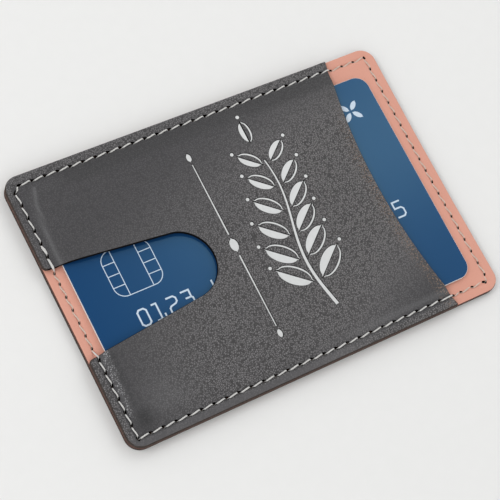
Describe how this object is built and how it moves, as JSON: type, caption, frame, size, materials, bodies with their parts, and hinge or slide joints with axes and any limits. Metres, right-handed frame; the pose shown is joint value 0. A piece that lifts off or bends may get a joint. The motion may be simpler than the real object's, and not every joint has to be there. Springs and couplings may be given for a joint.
{
  "type": "credit card holder",
  "caption": "Flat sewn leather card sleeve with a concave pocket mouth at one end, a thumb notch at the other, and a bank card that slides out.",
  "frame": {"origin": "middle of the back panel's underside", "axes": "+X along the holder towards the pocket's mouth, +Y across it, +Z from the back to the front"},
  "size_m": [0.095, 0.0654, 0.0037],
  "materials": {
    "grey_leather": "fine pebble grain, satin",
    "pink_leather": "smooth, matte",
    "white_thread": "twisted thread",
    "blue_plastic": "satin laminate"
  },
  "bodies": {
    "holder": {"back_panel": "grey_leather", "lining_panel": "pink_leather", "front_panel": "grey_leather", "needle_thread": "white_thread", "bobbin_thread": "white_thread"},
    "card": {"bank_card": "blue_plastic"}
  },
  "joints": [
    {"name": "card_slide", "type": "slide", "parent": "holder", "child": "card", "axis": [1, 0, 0], "range_m": [0, 0.0775]}
  ]
}
